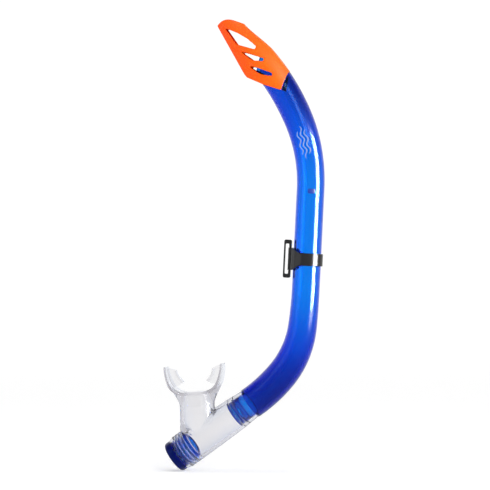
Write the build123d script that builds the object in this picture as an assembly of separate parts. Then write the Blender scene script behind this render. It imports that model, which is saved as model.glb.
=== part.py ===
from build123d import *

import os
from math import asin, cos, pi, radians, sin

# A J-shaped snorkel with a splash guard, a sliding strap keeper and a purge valve.
# Millimetres, +Z up. The origin is the centre of the mouth opening. The bent tube, the
# chamber and the mouthpiece's neck all lie in the XZ plane, and the snorkel is the same
# on both sides of it.

os.makedirs("parts", exist_ok=True)

# ---- Tube ----
SHOULDER = (50.5, -10.26)  # X, Z where the full tube ends and its spigot starts
CHAMBER_ANGLE = 35.3  # the tube's lower end and the chamber, degrees above horizontal
LEAD_IN = 2.7  # straight length above the shoulder
LOWER_BENDS = ((140, 14.7), (86, 33.0), (500, 4.2))  # radius, turn in degrees
STRAIGHT = 88.0
UPPER_BENDS = ((145, 26.0), (210, 19.0))
TUBE_R = 12.6  # outer radius of the straight run
LOWER_R = 14.6  # outer radius at the shoulder
UPPER_R = 13.5  # outer radius at the top end
TAPER_START = 20.0  # arc length where the lower end starts to thin
UPPER_TAPER = 88.0  # arc length over which the upper end thickens
BORE_R = 10.7  # the same all the way, so the wall is thicker at both ends
SEAT_R = 12.5  # turned-down end that the splash guard sits on
TUBE_CUT = (57.0, 290.0)  # a point of the slanting cut across the top, in X and Z
TUBE_CUT_ANGLE = 57.3  # that cut's slope, degrees

# ---- Spigot ----
SPIGOT_LENGTH = 18.2
SPIGOT_R = 11.6
SPIGOT_BORE_R = 9.8
BARB_R = 12.5
SPIGOT_BARBS = ((10.4, 1.6), (15.6, 2.3))  # distance from the shoulder, width
RUNNING_FIT = 0.05  # radial clearance of the cuff on the spigot
SHOULDER_GAP = 0.1  # between the cuff's end and the tube's shoulder

# ---- Moulded stop for the keeper ----
STOP_Z = 182.5
STOP_SIDE = 3.0  # offset to the tube's outer side
STOP_SIZE = (6.5, 4.3)
STOP_HEIGHT = 0.35
STOP_CORNER = 1.2

# ---- Chamber ----
CUFF_R = 13.7
CHAMBER_R = 16.3
CHAMBER_BORE_R = 12.6
CHAMBER_END = 80.8  # distance of the chamber's free end from the shoulder
RIDGE_R = 15.4
RIDGES = (70.4, 73.6, 76.8)
RIDGE_WIDTH = 1.5

# ---- Neck and lip shield ----
MOUTH_TILT = 4.3  # the mouthpiece leans this far from vertical, degrees
NECK_DEPTH = 46.0
SHIELD_HALF_HEIGHT = 13.0
TAB_THICKNESS = 3.4
LUG_THICKNESS = 7.0

# ---- Purge valve ----
HOUSING_R = 13.0
HOUSING_WALL = 1.7
HOUSING_TOP = 64.6  # distance of the rounded inner end from the shoulder
HOUSING_RIB_R = 13.7
HOUSING_RIBS = (69.4, 72.9, 76.4)
HOUSING_RIB_WIDTH = 1.4
HOUSING_MOUTH_R = 8.2  # opening of the rounded inner end
HOUSING_LIP = 3.6  # how far the housing stands out of the chamber, into the cap
WINDOWS = (6, 6.8, 16, 3.4)  # valve seat windows: how many, radius, sweep in degrees, width
SEAT_PLATE = (79.0, 80.6)  # the valve seat's two faces, from the shoulder
FIXED_GAP = 0.05  # radial gap between parts that are pushed together
VALVE_R = 9.6
VALVE_LIFT = 1.2
VALVE_HOLE_R = 1.5
STEM_R = 1.42
BULB_R = 2.1
CAP_R = 14.8
CAP_START = 81.0
CAP_END = 88.0
CAP_WALL = 1.5
VENTS = (8, 8.6, 20, 2.4)  # cap vents: how many, radius, sweep in degrees, width

# ---- Splash guard ----
GUARD_LEAN = 60.5  # the guard's own axis, degrees above horizontal, leaning to -X
GUARD_R = 13.9
GUARD_WALL = 1.4
KEEL_Q = 181.2  # place of the front keel, measured square to the guard's axis
KEEL_R = 2.6

# ---- Keeper ----
KEEPER_S = 148.5  # arc length of the keeper's middle along the tube
BAND_R = 14.2
BAND_HEIGHT = 11.2
ARM_HEIGHT = 20.5
KEEPER_FIT = 0.06
HINGE_X = -15.85  # the loop's inner bar, from the tube's axis
HINGE_R = 1.0
HOOK_R = 1.95
HOOK_SLIT = 1.3
LOOP_X = (-21.6, -14.75)
WINDOW_X = (-20.3, -16.9)
LOOP_HALF_HEIGHT = 17.3
WINDOW_HALF_HEIGHT = 13.7
LOOP_THICKNESS = 3.2


DEEP = 20  # half thickness of a cutting slab, wider than any part of the snorkel


# ---- Helpers ----
def flat(points):
    """A flat face from (x, y) or (x, y, corner radius) points."""
    corners = [(point[0], point[1]) for point in points]
    radii = [point[2] if len(point) > 2 else 0 for point in points]
    if not any(radii):
        return make_face(Polyline(*corners, close=True))
    return make_face(FilletPolyline(*corners, radius=radii, close=True))


def turned(points):
    """A solid of revolution about Z from (radius, height) points."""
    return revolve(Plane.XZ * flat(points), Axis.Z)


def slab(outline, half_width=DEEP):
    """An outline in X and Z, given thickness to both sides of the symmetry plane."""
    return extrude(Plane.XZ * outline, half_width, both=True)


def station(s):
    """X, Z and heading of the tube's centreline at arc length s from the shoulder."""
    x, z = SHOULDER
    heading = radians(CHAMBER_ANGLE)
    for radius, length in RUNS:
        step = min(s, length)
        s -= step
        if radius is None:
            x += step * cos(heading)
            z += step * sin(heading)
        else:
            turned_to = heading + step / radius
            x += radius * (sin(turned_to) - sin(heading))
            z += radius * (cos(heading) - cos(turned_to))
            heading = turned_to
    return x + s * cos(heading), z + s * sin(heading), heading


def arcs(bends):
    """(radius, length) of each bend."""
    return [(radius, radius * radians(turn)) for radius, turn in bends]


# the centreline's runs in order: a radius, or None where it is straight, and a length
RUNS = [(None, LEAD_IN), *arcs(LOWER_BENDS), (None, STRAIGHT), *arcs(UPPER_BENDS)]
STRAIGHT_START = LEAD_IN + sum(length for _, length in arcs(LOWER_BENDS))
STRAIGHT_END = STRAIGHT_START + STRAIGHT
SEAT_START = STRAIGHT_END + 40  # well below the splash guard's skirt
TUBE_END = STRAIGHT_END + sum(length for _, length in arcs(UPPER_BENDS))


def ease(t):
    """0 to 1 with no slope at either end."""
    return 0.5 - 0.5 * cos(pi * min(max(t, 0), 1))


def tube_radius(s):
    if s < STRAIGHT_START:
        t = (s - TAPER_START) / (STRAIGHT_START - TAPER_START)
        return LOWER_R + (TUBE_R - LOWER_R) * ease(t)
    return TUBE_R + (UPPER_R - TUBE_R) * ease((s - STRAIGHT_END) / UPPER_TAPER)


def across(s):
    """The plane square to the tube at arc length s."""
    x, z, heading = station(s)
    return Plane((x, 0, z), x_dir=(0, 1, 0), z_dir=(cos(heading), 0, sin(heading)))


def bent(start, end, count, radius):
    """A solid along the centreline, lofted through circles of radius(s)."""
    places = [start + (end - start) * i / (count - 1) for i in range(count)]
    return loft([across(s) * Circle(radius(s)) for s in places])


chamber_frame = Plane(
    (SHOULDER[0], 0, SHOULDER[1]),
    x_dir=(0, 1, 0),
    z_dir=(-cos(radians(CHAMBER_ANGLE)), 0, -sin(radians(CHAMBER_ANGLE))),
)
mouth_frame = Plane(
    (0, 0, 0),
    x_dir=(cos(radians(MOUTH_TILT)), 0, sin(radians(MOUTH_TILT))),
    z_dir=(-sin(radians(MOUTH_TILT)), 0, cos(radians(MOUTH_TILT))),
)


# ---- Splash guard outline, in X and Z ----
V_TIP = (81.2, 273.5)
SKIRT_FRONT = (63.2, 279.4)
ABOVE_SKIRT = (V_TIP, (93.4, 311.0), (60, 345), (0, 345), (40, 287.2), SKIRT_FRONT)


# side outline with corner radii: domed roof, back, V skirt over the tube and straight keel
GUARD_SIDE = (
    *((19.7, 333.6, 1.0), (28.3, 340.6, 16), (51.6, 332.8, 12), (70.0, 312.6, 80), (86.9, 291.0)),
    *(V_TIP, SKIRT_FRONT, (47.4, 286.1, 0.8), (44.6, 289.4, 6)),
)
# the space in front of the tube that the guard leaves open below
OPEN_BELOW = ((84, 290), (84, 262), (44, 268), (46.5, 290), (60, 300))


def guard_section(v, centre_q, radius, thinner=0):
    """Section square to the guard's axis: a keel and a round back with flat sides."""
    lean = radians(GUARD_LEAN)
    axis = Vector(-cos(lean), 0, sin(lean))
    side = Vector(sin(lean), 0, cos(lean))
    plane = Plane(axis * v, x_dir=side, z_dir=axis)
    keel_q = KEEL_Q + KEEL_R
    small, big = KEEL_R - thinner, radius - thinner
    slope = asin((big - small) / (centre_q - keel_q))
    big_x, big_y = centre_q - big * sin(slope), big * cos(slope)
    small_x, small_y = keel_q - small * sin(slope), small * cos(slope)
    outline = [
        ThreePointArc((big_x, -big_y), (centre_q + big, 0), (big_x, big_y)),
        Line((big_x, big_y), (small_x, small_y)),
        ThreePointArc((small_x, small_y), (keel_q - small, 0), (small_x, -small_y)),
        Line((small_x, -small_y), (big_x, -big_y)),
    ]
    return plane * make_face(outline)


# height along the guard's axis, place of the round back's centre, its radius
GUARD_STATIONS = (
    *((188, 206.8, GUARD_R), (212, 205.0, GUARD_R), (234, 202.0, GUARD_R)),
    *((250, 198.2, 12.4), (290, 196.0, 10.5)),
)
# slot outlines in X and Z, with corner radii
SLOTS = (
    (
        *((28.3, 330.9, 0.3), (41.0, 325.6, 30), (49.8, 320.3, 30)),
        *((57.6, 313.6, 1.0), (56.6, 311.0, 1.2), (38.4, 316.3, 1.2)),
    ),
    ((42.0, 309.6, 0.3), (48.6, 307.9, 20), (65.2, 302.4, 0.9), (64.4, 300.2, 1.0), (54.0, 301.2, 12)),
    ((50.2, 296.0, 0.3), (56.0, 295.3, 20), (73.0, 288.9, 0.9), (72.4, 286.8, 1.0), (61.5, 288.4, 20)),
)
# shallow recesses that lead the water into the slots
RECESSES = (
    (
        *((25.6, 332.9, 0.3), (41.5, 327.2, 30), (51.0, 321.8, 30)),
        *((59.8, 314.2, 1.0), (57.2, 310.4, 1.2), (38.0, 315.6, 1.2)),
    ),
    ((35.4, 310.7, 0.3), (46.6, 309.9, 20), (66.8, 303.0, 0.9), (65.0, 299.4, 1.0), (53.0, 300.2, 12)),
    ((43.8, 297.4, 0.3), (53.0, 297.1, 20), (74.6, 289.5, 0.9), (73.0, 286.0, 1.0), (60.5, 287.4, 20)),
)
RECESS_DEPTH = 0.6


def seat_rod():
    """The tube's turned-down upper end as a solid rod, bent like the tube."""
    return bent(SEAT_START, TUBE_END + 1, 6, lambda s: SEAT_R)


def make_splash_guard():
    outer = loft([guard_section(v, q, r) for v, q, r in GUARD_STATIONS])
    hollow = loft([guard_section(v, q, r, GUARD_WALL) for v, q, r in GUARD_STATIONS])
    inside = slab(offset(flat(GUARD_SIDE), -GUARD_WALL)) + slab(flat(OPEN_BELOW))
    guard = (outer & slab(flat(GUARD_SIDE))) - (hollow & inside) - seat_rod()
    below_recess = loft([guard_section(v, q, r, RECESS_DEPTH) for v, q, r in GUARD_STATIONS])
    for slot, recess in zip(SLOTS, RECESSES):
        guard -= slab(flat(recess)) - below_recess
        guard -= slab(flat(slot))
    return guard


# ---- Tube ----
def along_tube(end, radius):
    """A solid rod of radius(s) along the centreline, from the lead-in to end."""
    lower = bent(LEAD_IN, STRAIGHT_START, 10, radius)
    middle = bent(STRAIGHT_START, STRAIGHT_END, 2, radius)
    return lower + middle + bent(STRAIGHT_END, end, 9, radius)


def make_spigot():
    """The barbed end that the chamber's cuff turns on, from just inside the tube."""
    barbs = []
    for place, width in SPIGOT_BARBS:
        barbs += [(SPIGOT_R, place), (BARB_R, place + 0.5), (BARB_R, place + width - 0.3)]
        barbs += [(SPIGOT_R, place + width + 0.3)]
    return turned([(0, -1), (SPIGOT_R, -1), *barbs, (0, SPIGOT_LENGTH)])


def make_tube():
    lead_in = bent(0, LEAD_IN, 2, tube_radius)
    bore = along_tube(TUBE_END + 1, lambda s: BORE_R)
    narrowing = [(0, -LEAD_IN), (BORE_R, -LEAD_IN), (SPIGOT_BORE_R, 2)]
    passage = turned([*narrowing, (SPIGOT_BORE_R, SPIGOT_LENGTH + 1), (0, SPIGOT_LENGTH + 1)])
    tube = lead_in + along_tube(TUBE_END, tube_radius) + chamber_frame.location * make_spigot()
    tube -= bore + chamber_frame.location * passage
    shell = bent(SEAT_START, TUBE_END + 1, 6, lambda s: UPPER_R + 2) - seat_rod()
    tube -= shell & slab(offset(flat(ABOVE_SKIRT), FIXED_GAP))
    angle = radians(TUBE_CUT_ANGLE)
    cut = Plane((TUBE_CUT[0], 0, TUBE_CUT[1]), x_dir=(0, 1, 0), z_dir=(-sin(angle), 0, cos(angle)))
    tube -= cut.location * Pos(0, 0, DEEP) * Box(4 * DEEP, 4 * DEEP, 2 * DEEP)
    return tube + make_stop()


def make_stop():
    """A small rounded pad on the tube's side that the keeper can't pass."""
    x, z, heading = station(STRAIGHT_START)
    s = STRAIGHT_START + (STOP_Z - z) / sin(heading)
    x, z, heading = station(s)
    frame = Plane((x, 0, z), x_dir=(sin(heading), 0, -cos(heading)), z_dir=(0, -1, 0))
    pad = Pos(STOP_SIDE, 0, 0) * extrude(RectangleRounded(*STOP_SIZE, STOP_CORNER), TUBE_R + 2)
    reach = STOP_SIZE[1]
    skin = bent(s - reach, s + reach, 2, lambda s: TUBE_R + STOP_HEIGHT)
    core = bent(s - reach, s + reach, 2, lambda s: (TUBE_R + BORE_R) / 2)
    return (frame.location * pad) & (skin - core)


# ---- Mouthpiece ----
# lip shield in the mouth frame, right half: outer face going down, inner face going up
SHIELD_OUTER = ((27.2, 24.2), (26.8, 18.4), (24.8, 10.0), (21.8, 3.6), (16.6, -0.6), (8.0, -2.7))
SHIELD_INNER = ((25.5, 24.0), (25.0, 18.6), (23.0, 10.8), (19.8, 5.0), (15.2, 1.7), (8.0, -0.4))
# bite tab and its lug in the mouth frame, right half, with corner radii
TAB = (
    *((27.0, 24.2, 0.4), (16.8, 20.6, 0.8), (15.3, 14.8, 6), (10.6, 9.6, 0.9)),
    *((14.6, 6.8, 1.5), (21.0, 5.2), (25.2, 11.0, 10)),
)
LUG = (
    *((17.6, 20.2, 0.6), (15.3, 14.8, 6), (10.6, 9.6, 0.6)),
    *((12.6, 8.2, 0.6), (17.0, 13.4, 6), (19.0, 20.0, 0.6)),
)
# height, half width, half depth of the neck's outside, of its flare and of its bore
NECK = ((-NECK_DEPTH, 17.2, 14.6), (-34, 17.2, 14.5), (-14.5, 16.0, 12.6), (0, 14.7, 10.2))
FLARE = ((-14, 16.0, 12.6), (-5.7, 18.2, 11.6), (0.5, 21.9, 10.6), (5.0, 24.2, 10.0))
BORE = ((-NECK_DEPTH + 3, 13.2, 11.4), (-30, 13.2, 11.4), (-14.5, 12.8, 9.8), (2, 11.4, 7.2))


# the lip shield's outline seen from the front, right half, with corner radii
SHIELD_FRONT = ((8.0, 25.0, 5), (SHIELD_HALF_HEIGHT, 6.0, 12), (SHIELD_HALF_HEIGHT, -8))


def mirrored(points):
    """The left half of a right half's points, in the order that goes on round."""
    return [(-point[0], *point[1:]) for point in reversed(points)]


def oval_loft(rows):
    return loft([Plane((0, 0, z)) * Ellipse(half_width, half_depth) for z, half_width, half_depth in rows])


def make_shield():
    """Lip shield: a sheet bent round the dental arch, lower at its two ends."""
    outer = Spline(*SHIELD_OUTER, (0, -3.3), *mirrored(SHIELD_OUTER))
    inner = Spline(*SHIELD_INNER, (0, -1.0), *mirrored(SHIELD_INNER))
    ends = [Line(outer @ 0, inner @ 0), Line(outer @ 1, inner @ 1)]
    sheet = slab(make_face([outer, inner] + ends), SHIELD_HALF_HEIGHT)
    front = make_face([inner, Polyline(inner @ 0, (25.5, 40), (-25.5, 40), inner @ 1)])
    trim = flat([*SHIELD_FRONT, *mirrored(SHIELD_FRONT)])
    return sheet & extrude(Plane.YZ * trim, 2 * DEEP, both=True), slab(front)


def make_tabs():
    """Bite tabs: two plates inside the shield's ends, with raised lugs."""
    right = slab(flat(TAB), TAB_THICKNESS / 2) + slab(flat(LUG), LUG_THICKNESS / 2)
    return [right, mirror(right, about=Plane.YZ)]


def make_chamber():
    """The chamber's outside as a solid: a cuff that widens to a ridged end."""
    ridges = []
    for place in RIDGES:
        near, far = place - RIDGE_WIDTH / 2, place + RIDGE_WIDTH / 2
        ridges += [(RIDGE_R, near - 0.5), (CHAMBER_R, near), (CHAMBER_R, far), (RIDGE_R, far + 0.5)]
    flank = [(0, SHOULDER_GAP), (CUFF_R, SHOULDER_GAP), (14.2, 4), (15.2, 17), (15.6, 30)]
    wide = [(CHAMBER_R, 66), (CHAMBER_R, 68)]
    return turned([*flank, *wide, *ridges, (RIDGE_R, CHAMBER_END), (0, CHAMBER_END)])


def make_chamber_hollow():
    """What the spigot, the air and the purge housing fill inside the chamber."""
    spigot_r, barb_r = SPIGOT_R + RUNNING_FIT, BARB_R + RUNNING_FIT
    (first, first_width), (last, _) = SPIGOT_BARBS
    grip = [(spigot_r, first - 0.1), (barb_r, first + 0.4), (barb_r, first + first_width)]
    grip += [(spigot_r, first + first_width + 0.5), (spigot_r, last - 0.1), (barb_r, last + 0.4)]
    grip += [(barb_r, SPIGOT_LENGTH + 0.4)]
    space = [(CHAMBER_BORE_R, SPIGOT_LENGTH + 1), (CHAMBER_BORE_R, HOUSING_TOP - 0.6)]
    housing_r, rib_r = HOUSING_R + FIXED_GAP, HOUSING_RIB_R + FIXED_GAP
    socket = [(housing_r, HOUSING_TOP - 0.3)]
    for place in HOUSING_RIBS:
        near, far = place - HOUSING_RIB_WIDTH / 2, place + HOUSING_RIB_WIDTH / 2
        socket += [(housing_r, near - 0.5), (rib_r, near - 0.1), (rib_r, far + 0.1), (housing_r, far + 0.5)]
    socket += [(housing_r, CHAMBER_END + 1), (0, CHAMBER_END + 1)]
    return turned([(0, -1), (spigot_r, -1), *grip, *space, *socket])


def make_mouthpiece():
    sheet, front = make_shield()
    body = chamber_frame.location * make_chamber()
    body += mouth_frame.location * oval_loft(NECK)
    body += mouth_frame.location * (oval_loft(FLARE) - front)
    for piece in (sheet, *make_tabs()):
        body += mouth_frame.location * piece
    # the neck's bore ends in the chamber, short of the purge housing
    length = HOUSING_TOP - 4
    short_of_housing = chamber_frame.location * Pos(0, 0, length / 2) * Box(60, 160, length)
    neck_bore = (mouth_frame.location * oval_loft(BORE)) & short_of_housing
    return body - chamber_frame.location * make_chamber_hollow() - neck_bore


# ---- Purge valve ----
def ring_of_slots(pattern, start, depth):
    """Curved slots round the axis, cut upwards from the height start."""
    count, radius, sweep, width = pattern
    outline = Plane((0, 0, start)) * SlotArc(CenterArc((0, 0), radius, 0, sweep), width)
    return [Rot(0, 0, 360 * turn / count) * extrude(outline, depth) for turn in range(count)]


def make_purge_housing():
    inner_r = HOUSING_R - HOUSING_WALL
    ribs = []
    for place in HOUSING_RIBS:
        near, far = place - HOUSING_RIB_WIDTH / 2, place + HOUSING_RIB_WIDTH / 2
        ribs += [(HOUSING_R, near - 0.4), (HOUSING_RIB_R, near)]
        ribs += [(HOUSING_RIB_R, far), (HOUSING_R, far + 0.4)]
    seat_in, seat_out = SEAT_PLATE
    end = CHAMBER_END + HOUSING_LIP
    barrel = turned(
        [
            *((HOUSING_MOUTH_R, HOUSING_TOP), (HOUSING_R, HOUSING_TOP, 3.6), *ribs),
            *((HOUSING_R, end, 0.4), (inner_r, end, 0.3), (inner_r, seat_out)),
            *((VALVE_HOLE_R, seat_out), (VALVE_HOLE_R, seat_in), (inner_r, seat_in)),
            *((inner_r, HOUSING_TOP + 3.0, 2.2), (HOUSING_MOUTH_R, HOUSING_TOP + 1.4)),
        ]
    )
    for window in ring_of_slots(WINDOWS, seat_in - 1, seat_out - seat_in + 2):
        barrel -= window
    return chamber_frame.location * barrel


def make_purge_valve():
    seat_in, seat_out = SEAT_PLATE
    disc = seat_out + FIXED_GAP
    bulb = seat_in - VALVE_LIFT - 0.5
    stem = [(0, bulb - 2.6), (0.9, bulb - 2.6), (BULB_R, bulb - 0.2), (BULB_R, bulb), (STEM_R, bulb)]
    flap = [(STEM_R, disc), (VALVE_R, disc), (VALVE_R, disc + 0.5), (3.0, disc + 1.0), (0, disc + 1.1)]
    return chamber_frame.location * turned(stem + flap)


def make_purge_cap():
    skirt_r, roof = HOUSING_R + FIXED_GAP, CAP_END - CAP_WALL
    cap = turned(
        [
            *((skirt_r, CAP_START), (CAP_R, CAP_START, 0.6), (CAP_R, CAP_END, 2.6)),
            *((0, CAP_END), (0, roof), (skirt_r, roof, 1.2)),
        ]
    )
    for vent in ring_of_slots(VENTS, CAP_END - 4, 6):
        cap -= vent
    return chamber_frame.location * cap


# ---- Keeper ----
def keeper_location():
    x, z, heading = station(KEEPER_S)
    plane = Plane((x, 0, z), x_dir=(sin(heading), 0, -cos(heading)), z_dir=(cos(heading), 0, sin(heading)))
    return plane.location


# half of the keeper's arms seen along the tube: from the loop's bar round to the band
ARM_PLAN = ((-5.0, 13.3), (-9.6, 11.6, 2), (-13.0, 7.6, 1.5), (-15.6, 1.8))
ARM_TIP = -19  # beyond the hook
ARM_FOOT = -5.5  # where the arms start to stand higher than the band
ARM_FULL = -13.2  # where they reach their full height


def make_keeper_band():
    half, arm = BAND_HEIGHT / 2, ARM_HEIGHT / 2
    clear = ARM_HEIGHT + 4
    band = turned([(TUBE_R - 1, -half), (BAND_R, -half, 0.4), (BAND_R, half, 0.4), (TUBE_R - 1, half)])
    plan = flat([*ARM_PLAN, *((x, -y, *corner) for x, y, *corner in reversed(ARM_PLAN))])
    upper = [(ARM_TIP, arm), (ARM_FULL, arm, 2), (ARM_FOOT, half), (0, half)]
    side = flat([*upper, *((x, -z, *corner) for x, z, *corner in reversed(upper))])
    arms = extrude(plan, arm, both=True) + Cylinder(BAND_R, ARM_HEIGHT)
    band += (arms & slab(side)) + Pos(HINGE_X, 0, 0) * Cylinder(HOOK_R, ARM_HEIGHT)
    band -= Cylinder(TUBE_R + KEEPER_FIT, clear)
    band -= Pos(HINGE_X, 0, 0) * Cylinder(HINGE_R + KEEPER_FIT, clear)
    band -= Pos(HINGE_X - HOOK_R, 0, 0) * Box(2 * HOOK_R, HOOK_SLIT, clear)
    return keeper_location() * band


def upright_plate(x_range, half_height, corner, half_thickness):
    """A rounded plate facing along Y between two X values."""
    low, high = x_range
    outline = RectangleRounded(high - low, 2 * half_height, corner)
    return Pos((low + high) / 2, 0, 0) * Rot(90, 0, 0) * extrude(outline, half_thickness, both=True)


def make_strap_loop():
    reach = ARM_HEIGHT + 0.8
    frame = upright_plate(LOOP_X, LOOP_HALF_HEIGHT, 1.6, LOOP_THICKNESS / 2)
    frame -= upright_plate(WINDOW_X, WINDOW_HALF_HEIGHT, 0.9, LOOP_THICKNESS)
    # the inner bar is thinned to a round pin where the keeper's hook holds it
    bar = LOOP_X[1] - WINDOW_X[1]
    frame -= Pos((WINDOW_X[1] + LOOP_X[1]) / 2, 0, 0) * Box(bar + 0.3, LOOP_THICKNESS + 1, reach)
    frame += Pos(HINGE_X, 0, 0) * Cylinder(HINGE_R, reach + 0.4)
    return keeper_location() * frame


NODES = {
    "tube": make_tube(),
    "splash_guard": make_splash_guard(),
    "keeper_band": make_keeper_band(),
    "strap_loop": make_strap_loop(),
    "mouthpiece": make_mouthpiece(),
    "purge_housing": make_purge_housing(),
    "purge_valve": make_purge_valve(),
    "purge_cap": make_purge_cap(),
}
for name, solid in NODES.items():
    export_step(solid, f"parts/{name}.step")
    low, high = solid.bounding_box().min, solid.bounding_box().max
    print(name, round(solid.volume), [round(value, 1) for value in (*low, *high)])
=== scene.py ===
# %% [markdown]
# # A snorkel: clear blue tube, orange splash guard, black strap keeper, clear mouthpiece
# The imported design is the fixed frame: it says where every part is and how it moves. This
# script gives the parts their looks. Smooth moulded walls are surfaces worked out with numpy,
# and the finishes are node materials. Everything is in metres, with +Z up and the origin at
# the centre of the mouth opening.

# %% Load the frame
import math

import bmesh
import bpy
import numpy as np
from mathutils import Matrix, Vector


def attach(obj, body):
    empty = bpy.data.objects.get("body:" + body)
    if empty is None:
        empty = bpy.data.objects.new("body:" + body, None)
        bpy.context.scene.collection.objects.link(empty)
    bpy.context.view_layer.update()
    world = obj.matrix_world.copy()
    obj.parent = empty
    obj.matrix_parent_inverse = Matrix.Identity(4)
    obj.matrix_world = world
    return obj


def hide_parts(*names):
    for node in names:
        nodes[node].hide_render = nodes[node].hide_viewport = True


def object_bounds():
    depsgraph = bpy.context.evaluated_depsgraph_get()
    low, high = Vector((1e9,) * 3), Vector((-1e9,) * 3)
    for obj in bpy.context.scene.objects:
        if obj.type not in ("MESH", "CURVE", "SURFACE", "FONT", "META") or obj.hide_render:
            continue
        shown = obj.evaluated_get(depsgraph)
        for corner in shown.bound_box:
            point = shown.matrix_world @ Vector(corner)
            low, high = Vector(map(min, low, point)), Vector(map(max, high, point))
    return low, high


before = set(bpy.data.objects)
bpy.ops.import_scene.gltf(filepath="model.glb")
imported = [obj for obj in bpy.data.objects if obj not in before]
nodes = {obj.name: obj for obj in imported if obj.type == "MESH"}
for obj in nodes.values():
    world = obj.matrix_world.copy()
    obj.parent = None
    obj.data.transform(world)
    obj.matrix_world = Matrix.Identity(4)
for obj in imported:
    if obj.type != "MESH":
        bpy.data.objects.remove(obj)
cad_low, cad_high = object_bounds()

MM = 0.001
print("frame box", [round(v, 4) for v in (*cad_low, *cad_high)])

# %% [markdown]
# ## Surfaces on a grid
# A tube, a ring or a pad is a function of two parameters: a place along it and an angle round
# it. Blender's own cylinders could be bent into shape by hand, but a formula keeps the exact
# radii and bends of the frame. The helper below takes the points of such a function as one
# array, rows by columns by three, and makes quads between neighbours. Each row closes on
# itself, the last row may join the first, and a row shrunk to a point becomes one corner.

# %% A grid of points becomes a mesh


def grid_faces(rows, columns, wrap_rows):
    """Corner numbers of each quad: point, next column, next row and column, next row."""
    row = np.arange(rows if wrap_rows else rows - 1)[:, None]
    column = np.arange(columns)[None, :]
    below, right = (row + 1) % rows, (column + 1) % columns
    quads = (row * columns + column, row * columns + right, below * columns + right, below * columns + column)
    return np.stack([np.broadcast_to(q, (row.size, column.size)).ravel() for q in quads], axis=1)


def surface(name, points, wrap_rows=False, poles=False):
    """A mesh piece from points[row, column], faces outwards; poles joins rows shrunk to a point."""
    rows, columns = points.shape[:2]
    mesh = bpy.data.meshes.new(name)
    mesh.from_pydata(points.reshape(-1, 3), [], grid_faces(rows, columns, wrap_rows))
    if poles:
        join_poles(mesh)
    mesh.validate()
    if signed_volume(mesh) < 0:
        mesh.flip_normals()
    mesh.shade_smooth()
    piece = bpy.data.objects.new(name, mesh)
    bpy.context.scene.collection.objects.link(piece)
    return piece


def join_poles(mesh):
    """Merges the points that lie on each other, so that a row shrunk to a point is one corner."""
    work = bmesh.new()
    work.from_mesh(mesh)
    bmesh.ops.remove_doubles(work, verts=work.verts, dist=1e-7)
    work.to_mesh(mesh)
    work.free()


def signed_volume(mesh):
    """Sum over faces of centre times area vector, a third of it: above 0 if faces point out."""
    centre, normal, area = (np.zeros(len(mesh.polygons) * n) for n in (3, 3, 1))
    mesh.polygons.foreach_get("center", centre)
    mesh.polygons.foreach_get("normal", normal)
    mesh.polygons.foreach_get("area", area)
    return float(((centre * normal).reshape(-1, 3).sum(1) * area).sum() / 3)


# %% [markdown]
# ## The tube's centreline
# The tube is bent in one plane: straight runs joined by arcs, as on the bending former. Its
# heading turns at 1/radius per millimetre along each arc, so the centreline is the running
# sum of the heading's cosine and sine. The sums use fine even steps.

# %% Centreline by arc length
SHOULDER = np.array([50.5, -10.26]) * MM  # where the full tube ends and the spigot starts
START_HEADING = math.radians(35.3)
# (length in mm, turn in degrees) of each run, from the shoulder up
RUNS = ((2.7, 0), (35.92, 14.7), (49.53, 33.0), (36.65, 4.2), (88.0, 0), (65.8, 26.0), (86.14, 23.5))
LENGTHS = np.array([run[0] for run in RUNS]) * MM
TURNS = np.radians([run[1] for run in RUNS])
TUBE_END = LENGTHS.sum()
STRAIGHT_START, STRAIGHT_END = LENGTHS[:4].sum(), LENGTHS[:5].sum()
FINE = np.linspace(0, TUBE_END, 4001)


def heading_at(s):
    """Angle of the centreline above horizontal: it grows evenly through each run."""
    ends = np.concatenate([[0], np.cumsum(LENGTHS)])
    return np.interp(s, ends, START_HEADING + np.concatenate([[0], np.cumsum(TURNS)]))


step = FINE[1] - FINE[0]
middle = heading_at(FINE[:-1] + step / 2)
TRACK_X = SHOULDER[0] + np.concatenate([[0], np.cumsum(np.cos(middle)) * step])
TRACK_Z = SHOULDER[1] + np.concatenate([[0], np.cumsum(np.sin(middle)) * step])


def around_tube(s, angle, radius):
    """Points at arc length s, at an angle round the tube from its outer side, at a radius."""
    s, angle, radius = np.broadcast_arrays(s, angle, radius)
    heading = heading_at(s)
    out = radius * np.cos(angle)
    x = np.interp(s, FINE, TRACK_X) + out * np.sin(heading)
    z = np.interp(s, FINE, TRACK_Z) - out * np.cos(heading)
    return np.stack([x, radius * np.sin(angle), z], axis=-1)


print("tube centreline", round(float(TUBE_END), 4), "m, ends at", TRACK_X[-1].round(4), TRACK_Z[-1].round(4))

# %% [markdown]
# ## Shader maths
# Node trees are quick to draw by hand and slow to read back, so here they are written as
# sums. A small class wraps a socket, and noise * 0.2 + 0.3 on it adds two Math nodes. One
# method makes every other node from its type, its settings and what its sockets hold.

# %% A finish and its nodes


class Value:
    """A number on a socket, with the arithmetic that the finishes use."""

    def __init__(self, finish, socket):
        self.finish, self.socket = finish, socket

    def math(self, operation, left, right):
        return self.finish.node("ShaderNodeMath", {"operation": operation}, {0: left, 1: right})

    def __add__(self, other):
        return self.math("ADD", self, other)

    def __sub__(self, other):
        return self.math("SUBTRACT", self, other)

    def __rsub__(self, other):
        return self.math("SUBTRACT", other, self)

    def __mul__(self, other):
        return self.math("MULTIPLY", self, other)

    __radd__, __rmul__ = __add__, __mul__


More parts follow.
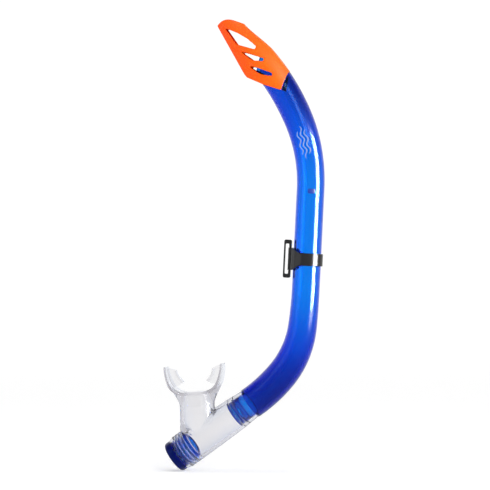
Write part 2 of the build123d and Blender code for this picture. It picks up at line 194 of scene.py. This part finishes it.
class Finish:
    """A material with one Principled shader."""

    def __init__(self, name, **fixed):
        self.material = bpy.data.materials.new(name)
        self.material.use_nodes = True
        self.tree = self.material.node_tree
        self.shader = self.tree.nodes["Principled BSDF"]
        self.set(**fixed)

    def set(self, **inputs):
        """Sets the shader's sockets: Base_Color, Roughness and so on, with _ for a space."""
        for name, value in inputs.items():
            self.join(self.shader.inputs[name.replace("_", " ")], value)

    def join(self, socket, value):
        if isinstance(value, Value):
            self.tree.links.new(value.socket, socket)
        else:
            socket.default_value = value

    def node(self, kind, settings=None, inputs=None, output=0):
        """Adds a node: its settings first, then its sockets by name or number."""
        made = self.tree.nodes.new(kind)
        for name, value in (settings or {}).items():
            if name == "stops":
                elements = made.color_ramp.elements
                while len(elements) < len(value):
                    elements.new(1.0)
                for stop, (place, colour) in zip(elements, value):
                    stop.position, stop.color = place, colour
            else:
                setattr(made, name, value)
        for name, value in (inputs or {}).items():
            self.join(made.inputs[name], value)
        return Value(self, made.outputs[output])

    def absorb(self, colour, density):
        """Fills the wall with a dye: light fades by density for each metre of its path."""
        dye = self.tree.nodes.new("ShaderNodeVolumeAbsorption")
        dye.inputs["Color"].default_value, dye.inputs["Density"].default_value = colour, density
        self.tree.links.new(dye.outputs[0], self.tree.nodes["Material Output"].inputs["Volume"])

    def place(self):
        return self.node("ShaderNodeTexCoord", output="Object")

    def coordinate(self, letter):
        """One of X, Y and Z of the Object coordinates, in metres."""
        return self.node("ShaderNodeSeparateXYZ", None, {0: self.place()}, letter)

    def ramp(self, factor, stops):
        """A colour that changes along factor, through (place, colour) stops."""
        return self.node("ShaderNodeValToRGB", {"stops": stops}, {0: factor})

    def noise(self, scale, detail=2.0):
        """Noise with about scale bumps to the metre."""
        return self.node("ShaderNodeTexNoise", None, {"Vector": self.place(), "Scale": scale, "Detail": detail})

    def mix(self, factor, low, high):
        """A colour between two, by a factor from 0 to 1."""
        return self.node(
            "ShaderNodeMix", {"data_type": "RGBA"}, {"Factor": factor, "A": low, "B": high}, output="Result"
        )

    def bump(self, height, strength, distance):
        self.set(
            Normal=self.node(
                "ShaderNodeBump", None, {"Height": height, "Strength": strength, "Distance": distance}, "Normal"
            )
        )


def rgba(red, green, blue):
    return (red, green, blue, 1.0)


def grey(level):
    return rgba(level, level, level)


def dress(piece, finish, body=None, replaces=()):
    """Gives a piece its finish, its body and the CAD nodes that it stands for."""
    piece.data.materials.clear()
    piece.data.materials.append(finish.material)
    if body:
        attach(piece, body)
    if replaces:
        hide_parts(*replaces)
    return piece


# %% [markdown]
# ## The camera
# The snorkel is seen from its side, turned eleven degrees towards its front, level with its
# middle and from far away, so the two sides of the mouthpiece hardly differ in size.

# %% Camera
VIEW_TURN = math.radians(11.0)
CAMERA_DISTANCE = 2.4
FRAME_WIDTH = 0.446  # metres across the picture at the snorkel's middle plane
AIM = Vector((0.0454, 0.0, 0.1338))
camera_data = bpy.data.cameras.new("camera")
camera_data.sensor_width = 36.0
camera_data.lens = 36.0 * CAMERA_DISTANCE / FRAME_WIDTH
camera = bpy.data.objects.new("camera", camera_data)
bpy.context.scene.collection.objects.link(camera)
towards = Vector((math.sin(VIEW_TURN), -math.cos(VIEW_TURN), 0.0))
camera.location = AIM + towards * CAMERA_DISTANCE
camera.rotation_euler = (-towards).to_track_quat("-Z", "Y").to_euler()
bpy.context.scene.camera = camera
print("lens", round(camera_data.lens, 1), "mm")

# %% [markdown]
# ## Clear blue plastic
# The tube is dyed polycarbonate. A flat blue with some transparency would look like paint.
# Real dyed plastic gets its colour on the way through: the shader lets light in, and an
# absorbing volume takes out red and green along the path, so the edges and the thick ends go
# darker by themselves. The wall also carries painted shade as an attribute that deepens the
# tint: through both bends, most on their outer side, over the seat inside the guard and on the
# spigot's ribs. Reflections are tinted blue, and a thin soft coat gives the white gloss.

# %% Clear blue plastic of the tube
TUBE_SHADE_TINTS = (  # (painted shade, colour): straight run, bends, ends, ribs
    (0.0, rgba(0.02, 1.0, 1.0)),
    (0.4, rgba(0.01, 0.86, 0.91)),
    (0.8, rgba(0.0, 0.38, 0.52)),
    (1.0, rgba(0.0, 0.12, 0.50)),
)


def tube_finish():
    finish = Finish("clear_blue_plastic", Transmission_Weight=1.0, IOR=1.36, Specular_IOR_Level=0.07)
    finish.set(Specular_Tint=rgba(0.03, 0.32, 0.9), Coat_Weight=0.25, Coat_Roughness=0.15, Coat_IOR=1.4)
    # painted shade: the wall's attribute darkens the blue through the bends, most on their outer side, inside
    # the guard and on the ribs
    depth = finish.node("ShaderNodeAttribute", {"attribute_name": "depth"}, output="Fac")
    wall = finish.ramp(depth, TUBE_SHADE_TINTS)
    finish.set(Base_Color=finish.mix(finish.noise(45.0) * 0.1, wall, rgba(0.05, 0.7, 0.9)))
    finish.absorb(rgba(0.0, 0.56, 0.945), 1000.0)
    finish.set(Roughness=finish.noise(300.0) * 0.03 + 0.015)
    finish.bump(finish.noise(40.0, 1.0), 0.012, 0.002)
    return finish


# %% [markdown]
# ## Orange plastic
# The guard is opaque satin plastic of one orange, with light and shade painted into it: a
# redder orange along its lower edge and a yellower one on its back, painted shading of its
# facets, and painted shade in deep red inside its slots, where light only arrives through the plastic.
# The first change follows a slanting line across the guard. For the second, the Ambient
# Occlusion node measures how much open sky each point has. A little subsurface scatter
# softens the edges, and fine noise gives the satin.

# %% Orange plastic of the splash guard
GUARD_EDGE, GUARD_SPAN = 0.170, 0.045  # x + 0.45 z along its lower edge, and from there across it


def guard_finish():
    finish = Finish("orange_plastic", Specular_IOR_Level=0.12, Subsurface_Weight=0.2, Subsurface_Scale=0.0012)
    slant = finish.coordinate("X") + finish.coordinate("Z") * 0.45
    across = (slant - GUARD_EDGE) * (1 / GUARD_SPAN)
    # painted light: redder along the lower edge and yellower on the back, as light falls on the facets
    red, orange, yellow = rgba(1.0, 0.075, 0.004), rgba(1.0, 0.115, 0.0), rgba(1.0, 0.165, 0.0)
    facet_shading = finish.ramp(across + (finish.noise(160.0) - 0.5) * 0.15, ((0.0, red), (0.45, orange), (0.9, yellow)))
    # painted shade: deep red where the Ambient Occlusion node finds little open sky
    open_sky = finish.node("ShaderNodeAmbientOcclusion", {"samples": 8}, {"Distance": 0.012}, "AO")
    finish.set(Base_Color=finish.mix((open_sky - 0.4) * 2.2, rgba(0.62, 0.004, 0.0), facet_shading))
    finish.set(Roughness=finish.noise(900.0) * 0.12 + 0.42)
    finish.bump(finish.noise(2600.0, 3.0), 0.18, 0.0003)
    return finish


# %% [markdown]
# ## Black plastic
# The keeper and its loop are glossy black nylon. Pure black would lose their shape, so the
# base is a very dark grey that varies a little, and the shape is read from the reflections.

# %% Black plastic of the keeper and its loop


def keeper_finish():
    finish = Finish("black_plastic", IOR=1.5, Specular_IOR_Level=0.22)
    finish.set(Base_Color=finish.mix(finish.noise(500.0), rgba(0.006, 0.006, 0.007), rgba(0.012, 0.012, 0.014)))
    finish.set(Roughness=finish.noise(1200.0) * 0.10 + 0.16)
    finish.bump(finish.noise(900.0), 0.08, 0.0002)
    return finish


# %% [markdown]
# ## Clear silicone
# Silicone bends light less than glass, so its index is set low: a higher one would turn the
# thin walls into dark-edged glass. Its faint milkiness is an absorbing volume. Where the
# surface turns away, Layer Weight paints a bluish sheen into the base colour.

# %% Clear silicone of the mouthpiece


def silicone_finish():
    finish = Finish("clear_silicone", Transmission_Weight=1.0, IOR=1.22, Specular_IOR_Level=0.6)
    # painted sheen: bluer base colour where the surface turns away
    edge = finish.node("ShaderNodeLayerWeight", None, {"Blend": 0.35}, "Facing")
    flow = finish.mix(finish.noise(70.0), rgba(0.95, 0.95, 0.955), rgba(0.975, 0.975, 0.98))
    finish.set(Base_Color=finish.mix(edge, flow, rgba(0.80, 0.87, 0.99)))
    finish.set(Roughness=finish.noise(260.0) * 0.06 + 0.05)
    finish.absorb(rgba(0.45, 0.43, 0.48), 55.0)
    finish.bump(finish.noise(120.0, 1.0), 0.05, 0.001)
    return finish


# %% [markdown]
# ## Small parts
# The purge insert is the tube's plastic in a lighter dye, the cap is a navy so dark that
# its colour shows only in the light, and the valve is milky silicone. The ridges on the
# chamber's end are a pale blue that paints the highlight along them.
# The stop pad is opaque deep blue and the printed mark a pale ink.

# %% Purge, pad and print finishes


def insert_finish():
    finish = Finish("blue_insert", Transmission_Weight=1.0, IOR=1.4, Specular_Tint=rgba(0.1, 0.4, 0.9))
    finish.set(Base_Color=finish.mix(finish.noise(200.0), rgba(0.10, 0.62, 0.92), rgba(0.20, 0.75, 0.98)))
    finish.absorb(rgba(0.0, 0.50, 0.92), 1000.0)
    finish.set(Roughness=finish.noise(500.0) * 0.05 + 0.08)
    return finish


def cap_finish():
    finish = Finish("navy_plastic", IOR=1.4, Specular_IOR_Level=0.4, Specular_Tint=rgba(0.15, 0.3, 0.9))
    finish.set(Base_Color=finish.mix(finish.noise(300.0), rgba(0.0, 0.001, 0.05), rgba(0.001, 0.002, 0.08)))
    finish.set(Roughness=finish.noise(900.0) * 0.08 + 0.12)
    finish.bump(finish.noise(1500.0), 0.06, 0.0002)
    return finish


def valve_finish():
    finish = Finish("milky_silicone", Transmission_Weight=0.6, IOR=1.41)
    finish.set(Base_Color=finish.mix(finish.noise(400.0), rgba(0.78, 0.82, 0.87), rgba(0.86, 0.89, 0.93)))
    finish.set(Roughness=finish.noise(700.0) * 0.1 + 0.3)
    return finish


def stop_finish():
    finish = Finish("deep_blue_pad", IOR=1.4)
    finish.set(Base_Color=finish.mix(finish.noise(400.0), rgba(0.0, 0.03, 0.33), rgba(0.0, 0.05, 0.40)))
    finish.set(Roughness=finish.noise(800.0) * 0.1 + 0.25)
    return finish


# painted highlight: a pale blue for the light along the chamber's three ridges
def ridge_highlight_finish():
    finish = Finish("pale_ridge_highlight", Transmission_Weight=0.3, IOR=1.3)
    finish.set(Base_Color=finish.mix(finish.noise(300.0), rgba(0.34, 0.48, 0.86), rgba(0.46, 0.58, 0.90)))
    finish.set(Roughness=finish.noise(700.0) * 0.1 + 0.25)
    return finish


def print_finish():
    finish = Finish("pale_print", Specular_IOR_Level=0.2)
    finish.set(Base_Color=finish.mix(finish.noise(700.0), rgba(0.16, 0.30, 0.62), rgba(0.22, 0.38, 0.70)))
    finish.set(Roughness=finish.noise(900.0) * 0.1 + 0.4)
    return finish


# %% All finishes, one of each
finishes = {
    "tube": tube_finish(),
    "guard": guard_finish(),
    "keeper": keeper_finish(),
    "silicone": silicone_finish(),
    "insert": insert_finish(),
    "cap": cap_finish(),
    "valve": valve_finish(),
    "stop": stop_finish(),
    "print": print_finish(),
    "ridge_highlight": ridge_highlight_finish(),
}
print("finishes", sorted(finishes))

# %% [markdown]
# ## The tube
# The tube is one extruded and bent wall with a moulded spigot. A curve with a round bevel
# would give the outside but no wall, and light has to pass a real wall twice. So the section
# is a circle carried along the centreline, and its profile is followed up the outside, over
# the slanting rim, back down the bore and round the spigot: one closed grid. Two edges are
# slanted planes, the guard's V-shaped skirt and the rim, so the arc length where each line
# along the tube meets them is found first. The radius eases from one size to the next.

# %% Tube wall
TUBE_R, LOWER_R, UPPER_R = 12.6 * MM, 14.6 * MM, 13.5 * MM
BORE_R, SEAT_R = 10.7 * MM, 12.45 * MM
AROUND = np.linspace(0, 2 * np.pi, 129)[:-1]


def ease(t):
    """0 to 1 with no slope at either end: half of 1 minus the cosine."""
    return 0.5 - 0.5 * np.cos(np.pi * np.clip(t, 0, 1))


def tube_radius(s):
    """The straight run's radius, eased to wider ones towards both ends."""
    lower = LOWER_R + (TUBE_R - LOWER_R) * ease((s - 20 * MM) / (STRAIGHT_START - 20 * MM))
    upper = TUBE_R + (UPPER_R - TUBE_R) * ease((s - STRAIGHT_END) / (88 * MM))
    return np.where(s < STRAIGHT_START, lower, upper)


def first_crossing(height, radius):
    """Arc length where each line along the tube first has height(x, z) above 0."""
    s = np.linspace(STRAIGHT_END, TUBE_END, 1500)[:, None]
    points = around_tube(s, AROUND[None, :], radius)
    value = height(points[..., 0], points[..., 2])
    last_below = np.argmax(value > 0, axis=0) - 1
    columns = np.arange(AROUND.size)
    low, high = value[last_below, columns], value[last_below + 1, columns]
    return s[last_below, 0] + (s[1, 0] - s[0, 0]) * low / (low - high)


V_TIP = np.array([81.2, 273.5]) * MM
CUT_POINT, CUT_ANGLE = np.array([57.0, 290.0]) * MM, math.radians(72.0)


def above_skirt(x, z):
    """Above both edges of the guard's V-shaped skirt: the smaller of two distances."""
    left = (x - V_TIP[0]) * 0.3115 + (z - V_TIP[1]) * 0.950
    right = (V_TIP[0] - x) * 0.951 + (z - V_TIP[1]) * 0.309
    return np.minimum(left, right)


def above_cut(x, z):
    """Above the slanting plane of the tube's rim."""
    return (z - CUT_POINT[1]) * math.cos(CUT_ANGLE) - (x - CUT_POINT[0]) * math.sin(CUT_ANGLE)


def wall_painted_shade(s):
    """Painted shade of the wall, 0 to 1: none in the straight run, growing through both bends to the ends, most
    on their outer side.
    """
    s = np.broadcast_to(s, (s.shape[0], AROUND.size))
    lower = ease((STRAIGHT_START + 5 * MM - s) / (STRAIGHT_START - 10 * MM))
    upper = ease((s - STRAIGHT_END - 8 * MM) / (80 * MM))
    return 0.8 * (lower * (0.85 + 0.15 * np.cos(AROUND)) + upper * (0.62 + 0.38 * np.cos(AROUND)))


# (radius, distance below the shoulder in mm, painted shade of the blue) along the spigot, bore first
SPIGOT_PROFILE = (
    *((10.7, -2.7, 0.8), (9.85, 1.9, 0.2), (9.8, 2.4, 0.0), (9.8, 10.4, 0.0)),
    *((9.8, 11.0, 1.0), (9.8, 17.7, 1.0), (10.0, 18.2, 1.0)),
    *((11.4, 18.2, 1.0), (11.6, 18.0, 1.0), (12.4, 17.7, 1.0), (12.5, 17.3, 1.0), (12.5, 16.4, 1.0)),
    *((11.6, 15.5, 0.5), (11.6, 12.4, 0.5), (12.4, 11.9, 1.0), (12.5, 11.6, 1.0), (12.5, 11.0, 1.0)),
    *((11.6, 10.3, 0.0), (11.6, 0.4, 0.0), (11.8, 0.0, 0.9), (14.1, 0.0, 0.9)),
)


def make_tube():
    """Rows: outside to the skirt, seat to the rim, bore back down, then the spigot's circles."""
    skirt = first_crossing(above_skirt, UPPER_R)
    rim = first_crossing(above_cut, SEAT_R)
    inner_rim = first_crossing(above_cut, BORE_R)
    s = np.linspace(0, 1, 260)[:, None] * skirt[None, :]
    body, body_painted_shade = around_tube(s, AROUND, tube_radius(s)), wall_painted_shade(s)
    s = skirt + np.linspace(0, 1, 24)[:, None] * (rim - skirt)
    # the seat inside the guard is given full painted shade
    seat, seat_painted_shade = around_tube(s, AROUND, SEAT_R), np.full((24, AROUND.size), 1.0)
    lead = 2.7 * MM
    s = lead + np.linspace(1, 0, 280)[:, None] * (inner_rim - lead)
    bore, bore_painted_shade = around_tube(s, AROUND, BORE_R), wall_painted_shade(s)
    radius, down, depth = np.array(SPIGOT_PROFILE[1:]).T[:, :, None]
    spigot = around_spigot(radius * MM, down * MM)
    wall = np.concatenate([body, seat, bore, spigot])
    painted_shades = [body_painted_shade, seat_painted_shade, bore_painted_shade, np.broadcast_to(depth, spigot.shape[:2])]
    piece = surface("tube_wall", wall, wrap_rows=True)
    layer = piece.data.attributes.new("depth", "FLOAT", "POINT")
    layer.data.foreach_set("value", np.concatenate(painted_shades).ravel().astype(np.float32))
    return piece


def around_spigot(radius, down):
    """Circles of a radius at a distance below the shoulder, about the spigot's axis."""
    out = radius * np.cos(AROUND)
    x = SHOULDER[0] - down * math.cos(START_HEADING) + out * math.sin(START_HEADING)
    z = SHOULDER[1] - down * math.sin(START_HEADING) - out * math.cos(START_HEADING)
    return np.stack([x, np.broadcast_to(radius * np.sin(AROUND), x.shape), z], axis=-1)


tube = dress(make_tube(), finishes["tube"], "tube_body", ["tube"])
print("tube", len(tube.data.polygons), "faces")

# %% [markdown]
# ## Stop and printed mark
# A small pad moulded on the tube's side stops the keeper. Above it a pale mark is printed
# on the tube: three waves, drawn as ribbons that lie on the wall. Both follow the tube by arc
# length and angle, so they bend with it.

# %% Stop pad and wave mark
NEAR_SIDE = -np.pi / 2  # the angle of the tube's -Y side


def make_stop():
    """A rounded rectangle, its rows first widening from a point below, then closing above."""
    turn = np.linspace(0, 2 * np.pi, 49)[:-1]
    along = 2.15 * MM * np.sign(np.sin(turn)) * np.abs(np.sin(turn)) ** 0.4
    across = 3.25 * MM * np.sign(np.cos(turn)) * np.abs(np.cos(turn)) ** 0.4
    share = np.array([0.0, 1.0, 1.0, 0.96, 0.86, 0.5, 0.0])[:, None]
    height = np.array([-0.6, -0.6, 0.2, 0.42, 0.5, 0.52, 0.52])[:, None] * MM
    s = STRAIGHT_END - 2.3 * MM + share * along
    angle = NEAR_SIDE + (3.0 * MM + share * across) / TUBE_R
    return surface("stop_pad", around_tube(s, angle, TUBE_R + height), poles=True)


def make_waves():
    """Ribbons round a thin oval section; each runs along s, waving to and fro in angle."""
    ring = np.linspace(0, 2 * np.pi, 13)[:-1][None, :]
    meshes = []
    for row, length in ((-3.4, 22.0), (0.0, 30.0), (3.4, 22.0)):
        share = np.linspace(-1, 1, 90)[:, None]
        middle = row + 1.1 * np.sin(share * length / 2 * 0.62)
        half = 0.62 * np.sqrt(np.clip(1 - share**2, 0, 1)) ** 0.5
        s = STRAIGHT_END + (42.0 + share * length / 2) * MM + 0 * ring
        angle = NEAR_SIDE + (middle + half * np.cos(ring)) * MM / tube_radius(s)
        radius = tube_radius(s) + (0.03 + 0.04 * np.sin(ring) * (half > 0)) * MM
        meshes.append(surface("wave", around_tube(s, angle, radius), poles=True))
    return joined("printed_waves", meshes)


def joined(name, pieces):
    """One piece from several, each mesh added to the first."""
    work = bmesh.new()
    for piece in pieces:
        work.from_mesh(piece.data)
        bpy.data.objects.remove(piece)
    mesh = bpy.data.meshes.new(name)
    work.to_mesh(mesh)
    work.free()
    whole = bpy.data.objects.new(name, mesh)
    bpy.context.scene.collection.objects.link(whole)
    return whole


stop = dress(make_stop(), finishes["stop"], "tube_body")
waves = dress(make_waves(), finishes["print"], "tube_body")
print("stop", len(stop.data.polygons), "faces, waves", len(waves.data.polygons))

# %% [markdown]
# ## Moulded parts from the frame
# The guard, the keeper and its loop are exact in the frame, but a mould leaves no sharp edge.
# A Bevel modifier stumbles over the loose triangles of such a mesh. So a copy is merged,
# remeshed into small even cells and relaxed, which rounds each edge by about a cell. The
# mouthpiece keeps its own mesh: cells would ripple its clear walls, and every ripple shows.

# %% Softened copies


def softened(node, name, cell, relax):
    """A remeshed copy of a CAD node, its edges rounded by relaxing each point."""
    piece = bpy.data.objects.new(name, nodes[node].data.copy())
    bpy.context.scene.collection.objects.link(piece)
    weld = piece.modifiers.new("weld", "WELD")
    weld.merge_threshold = 1e-6
    remesh = piece.modifiers.new("remesh", "REMESH")
    remesh.mode, remesh.voxel_size, remesh.use_smooth_shade = "VOXEL", cell, True
    smooth = piece.modifiers.new("relax", "SMOOTH")
    smooth.factor, smooth.iterations = 0.5, relax
    evaluated = piece.evaluated_get(bpy.context.evaluated_depsgraph_get())
    mesh = bpy.data.meshes.new_from_object(evaluated)
    piece.modifiers.clear()
    piece.data = mesh
    print(name, len(mesh.polygons), "faces")
    return piece


guard = softened("splash_guard", "guard_shell", 0.5 * MM, 3)
dress(guard, finishes["guard"], "tube_body", ["splash_guard"])
band = softened("keeper_band", "keeper_clip", 0.22 * MM, 3)
dress(band, finishes["keeper"], "keeper_body", ["keeper_band"])
loop = softened("strap_loop", "keeper_loop", 0.16 * MM, 2)
dress(loop, finishes["keeper"], "loop_body", ["strap_loop"])
dress(nodes["mouthpiece"], finishes["silicone"])

# %% [markdown]
# ## Purge end
# The insert, its cap and its valve are turned parts that the frame already has. Three small
# ridges ring the outside of the clear chamber at that end. They are thin oval rings about the
# chamber's axis, in a pale blue that paints the highlight along them.

# %% Purge parts and the ridges' painted highlight
RING_PLACES = (67.6, 71.1, 74.6)  # mm from the tube's shoulder


def make_ridge_highlight_rings():
    """Each ring: an oval section, radius by cosine and place along the axis by sine."""
    turn = np.linspace(0, 2 * np.pi, 9)[:-1, None]
    radius = (13.72 + 0.12 * np.cos(turn)) * MM
    rings = [around_spigot(radius, (place + 0.22 * np.sin(turn)) * MM) for place in RING_PLACES]
    return joined("ridge_highlight_rings", [surface("ring", ring, wrap_rows=True) for ring in rings])


# the ridges' pale blue is a painted highlight
rings = dress(make_ridge_highlight_rings(), finishes["ridge_highlight"], "mouthpiece_body")
print("seal rings", len(rings.data.polygons), "faces")
dress(nodes["purge_housing"], finishes["insert"])
dress(nodes["purge_cap"], finishes["cap"])
dress(nodes["purge_valve"], finishes["valve"])

# %% [markdown]
# ## Round studio sweep
# The snorkel stands in the middle of a wide paper bowl: a flat floor whose rim curves up into
# a wall. A flat plane would show a horizon, and a wall on one side would hide the object from
# behind, so the profile is turned full circle and is wider than the camera's distance. Paper
# near the object takes shadows; paper far out glows by itself, so it looks evenly pale.

# %% Floor and sweep
FLOOR_Z = cad_low.z - 0.0005
PAPER_GLOW = 0.27  # the paper's own light near the object; its rim gives 0.95


def make_sweep():
    """Floor, quarter circle and wall as one profile of radius and height, turned about Z."""
    floor, bend, top = 2.9, 0.5, 2.6
    turn = np.linspace(0, np.pi / 2, 24)
    radius = np.concatenate([np.linspace(0, 2.7, 10), floor + bend * np.sin(turn), [floor + bend]])[:, None]
    height = np.concatenate([np.zeros(10), bend * (1 - np.cos(turn)), [top]])[:, None]
    angle = np.linspace(0, 2 * np.pi, 97)[None, :-1]
    x, y = radius * np.cos(angle) + AIM.x, radius * np.sin(angle)
    return np.stack([x, y, np.broadcast_to(height + FLOOR_Z, x.shape)], axis=-1)


sweep = surface("studio_sweep", make_sweep(), poles=True)
paper = Finish("pale_paper", Specular_IOR_Level=0.0, Emission_Strength=1.0)
far = paper.node("ShaderNodeVectorMath", {"operation": "LENGTH"}, {0: paper.place()}, "Value") * (1 / 3.0)
paper.set(Base_Color=paper.ramp(far + paper.noise(20.0) * 0.01, ((0.3, grey(0.94)), (0.95, grey(0.1)))))
paper.set(Emission_Color=paper.ramp(far, ((0.3, grey(PAPER_GLOW)), (0.95, grey(0.95)))))
paper.set(Roughness=paper.noise(50.0) * 0.1 + 0.8)
dress(sweep, paper)

# %% [markdown]
# ## Lights
# Round glossy parts are drawn by what they reflect. A tall softbox to the right gives the
# long pale line down the tube; it doesn't light matt surfaces, which would burn out. A key,
# a fill from the left and a top light model the rest, softly. No light is seen directly.

# %% Lights


def softbox(name, place, aim, size, power, on_matt=True):
    """An area light of a width and height in metres, facing a point; on_matt lights matt surfaces too."""
    data = bpy.data.lights.new(name, "AREA")
    data.shape, data.size, data.size_y, data.energy = "RECTANGLE", size[0], size[1], power
    light = bpy.data.objects.new(name, data)
    light.location = place
    light.rotation_euler = (Vector(aim) - Vector(place)).to_track_quat("-Z", "Y").to_euler()
    light.visible_diffuse, light.visible_camera = on_matt, False
    bpy.context.scene.collection.objects.link(light)


softbox("highlight", (1.57, -0.49, 0.3), (0.05, 0, 0.3), (0.8, 0.9), 270, on_matt=False)
softbox("key", (1.1, -1.6, 0.9), (0.08, 0, 0.13), (0.8, 0.8), 11)
softbox("fill_left", (-1.6, -1.4, 0.5), (0.05, 0, 0.15), (0.9, 1.2), 4)
softbox("top", (0.0, -0.2, 2.2), (0.05, 0, 0.1), (1.2, 1.2), 6)
world = bpy.data.worlds.new("studio")
world.use_nodes = True
world.node_tree.nodes["Background"].inputs["Color"].default_value = (1.0, 1.0, 1.0, 1.0)
world.node_tree.nodes["Background"].inputs["Strength"].default_value = 0.42
bpy.context.scene.world = world
bpy.context.scene.view_settings.view_transform = "Standard"
